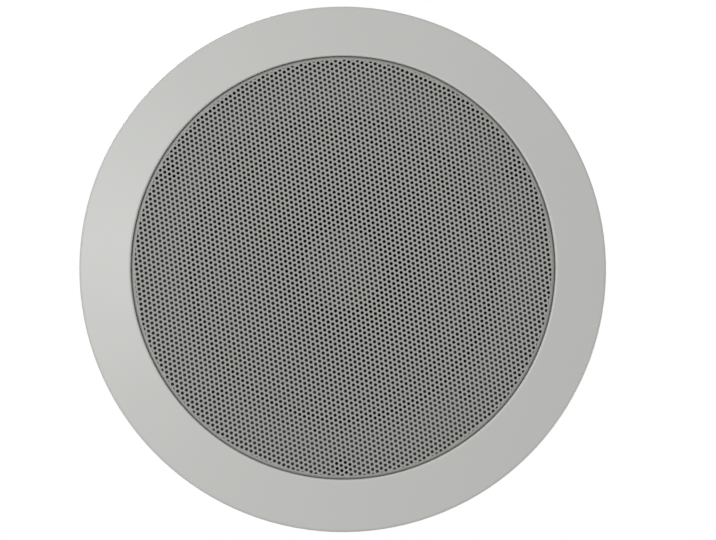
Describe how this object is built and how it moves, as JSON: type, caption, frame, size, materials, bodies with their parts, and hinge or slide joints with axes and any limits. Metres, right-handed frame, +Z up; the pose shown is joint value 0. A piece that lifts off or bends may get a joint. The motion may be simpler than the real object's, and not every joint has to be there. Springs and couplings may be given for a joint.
{
  "type": "recessed ceiling speaker",
  "caption": "Round recessed ceiling speaker: perforated grille in a wide bezel, coaxial woofer and tweeter, swing-out clamps and push terminals behind.",
  "frame": {"origin": "centre of the flange's back face, in the plane of the ceiling's face, on the axis of the collar", "axes": "+Z up into the ceiling void, along the axis; the grille faces -Z; +Y towards the crossover board and its terminals"},
  "size_m": [0.23, 0.23, 0.102],
  "materials": {
    "bezel_plastic": "satin moulded ABS in warm light grey",
    "grille_steel": "powder-coated perforated steel, mid grey",
    "basket_steel": "black powder coat on pressed steel",
    "zinc_steel": "zinc-plated, lightly turned",
    "ferrite": "matt grey-black sintered ferrite",
    "neodymium": "nickel-plated",
    "cone_fibre": "matt black mineral-filled polypropylene",
    "rubber": "matt rubber",
    "spider_cloth": "resin-dipped woven cotton",
    "former_film": "amber polyimide film",
    "copper": "enamelled copper wire",
    "black_plastic": "moulded, fine texture",
    "red_plastic": "moulded, fine texture",
    "dome_silk": "coated woven silk",
    "brass": "satin",
    "circuit_board": "green solder mask",
    "capacitor_sleeve": "shrink sleeve over an aluminium can",
    "ceramic": "rough white ceramic",
    "phenolic": "brown laminate",
    "lead_red": "insulated wire",
    "lead_black": "insulated wire",
    "tinsel": "braided copper on cotton"
  },
  "bodies": {
    "speaker_body": {"bezel_frame": "bezel_plastic", "grille": "grille_steel", "basket": "basket_steel", "basket_rivets": "zinc_steel", "woofer_gasket": "rubber", "woofer_screws": "basket_steel", "top_plate": "zinc_steel", "magnet": "ferrite", "yoke": "zinc_steel", "tweeter_post": "zinc_steel", "post_nut": "zinc_steel", "tweeter_housing": "black_plastic", "tweeter_faceplate": "black_plastic", "tweeter_cup": "zinc_steel", "tweeter_magnet": "neodymium", "tweeter_pole_piece": "zinc_steel", "crossover_board": "circuit_board", "capacitor": "capacitor_sleeve", "choke_bobbin": "black_plastic", "choke_winding": "copper", "resistor": "ceramic", "terminal_block": "black_plastic", "terminal_contacts": "brass", "tag_strip": "phenolic", "solder_tags": "brass", "woofer_leads": "lead_red", "tweeter_leads": "lead_black"},
    "cone_assembly": {"cone": "cone_fibre", "surround": "rubber", "spider": "spider_cloth", "voice_coil_former": "former_film", "voice_coil": "copper", "tinsel_leads": "tinsel"},
    "tweeter_diaphragm": {"tweeter_dome": "dome_silk", "tweeter_coil": "copper"},
    "red_button": {"terminal_button_red": "red_plastic"},
    "black_button": {"terminal_button_black": "black_plastic"},
    "screw_a": {"clamp_screw_a": "zinc_steel"},
    "insert_a": {"clamp_insert_a": "brass"},
    "clamp_arm_a": {"clamp_a": "black_plastic"},
    "screw_b": {"clamp_screw_b": "zinc_steel"},
    "insert_b": {"clamp_insert_b": "brass"},
    "clamp_arm_b": {"clamp_b": "black_plastic"},
    "screw_c": {"clamp_screw_c": "zinc_steel"},
    "insert_c": {"clamp_insert_c": "brass"},
    "clamp_arm_c": {"clamp_c": "black_plastic"}
  },
  "joints": [
    {"name": "cone_travel", "type": "slide", "parent": "speaker_body", "child": "cone_assembly", "axis": [0, 0, 1], "range_m": [-0.0035, 0.0035], "stiffness_N_per_m": 1000, "deforming": ["surround", "spider", "tinsel_leads"]},
    {"name": "dome_travel", "type": "slide", "parent": "speaker_body", "child": "tweeter_diaphragm", "axis": [0, 0, 1], "range_m": [-0.0003, 0.0003], "stiffness_N_per_m": 1500, "deforming": ["tweeter_dome"]},
    {"name": "screw_turn_a", "type": "hinge", "parent": "speaker_body", "child": "screw_a", "pos_m": [0.07448, 0.043, 0.03], "axis": [0, 0, 1], "range_deg": [0, 6240]},
    {"name": "clamp_travel_a", "type": "slide", "parent": "speaker_body", "child": "insert_a", "axis": [0, 0, 1], "range_m": [-0.026, 0]},
    {"name": "clamp_swing_a", "type": "hinge", "parent": "insert_a", "child": "clamp_arm_a", "pos_m": [0.07448, 0.043, 0.0445], "axis": [0, 0, 1], "range_deg": [0, 90]},
    {"name": "screw_turn_b", "type": "hinge", "parent": "speaker_body", "child": "screw_b", "pos_m": [-0.07448, 0.043, 0.03], "axis": [0, 0, 1], "range_deg": [0, 6240]},
    {"name": "clamp_travel_b", "type": "slide", "parent": "speaker_body", "child": "insert_b", "axis": [0, 0, 1], "range_m": [-0.026, 0]},
    {"name": "clamp_swing_b", "type": "hinge", "parent": "insert_b", "child": "clamp_arm_b", "pos_m": [-0.07448, 0.043, 0.0445], "axis": [0, 0, 1], "range_deg": [0, 90]},
    {"name": "screw_turn_c", "type": "hinge", "parent": "speaker_body", "child": "screw_c", "pos_m": [0, -0.086, 0.03], "axis": [0, 0, 1], "range_deg": [0, 6240]},
    {"name": "clamp_travel_c", "type": "slide", "parent": "speaker_body", "child": "insert_c", "axis": [0, 0, 1], "range_m": [-0.026, 0]},
    {"name": "clamp_swing_c", "type": "hinge", "parent": "insert_c", "child": "clamp_arm_c", "pos_m": [0, -0.086, 0.0445], "axis": [0, 0, 1], "range_deg": [0, 90]},
    {"name": "red_button_press", "type": "slide", "parent": "speaker_body", "child": "red_button", "axis": [0, -1, 0], "range_m": [0, 0.0025], "stiffness_N_per_m": 600},
    {"name": "black_button_press", "type": "slide", "parent": "speaker_body", "child": "black_button", "axis": [0, -1, 0], "range_m": [0, 0.0025], "stiffness_N_per_m": 600}
  ],
  "couplings": [
    {"joint": "screw_turn_a", "follows": "clamp_travel_a", "rad_per_m": -4188.8},
    {"joint": "screw_turn_b", "follows": "clamp_travel_b", "rad_per_m": -4188.8},
    {"joint": "screw_turn_c", "follows": "clamp_travel_c", "rad_per_m": -4188.8}
  ]
}
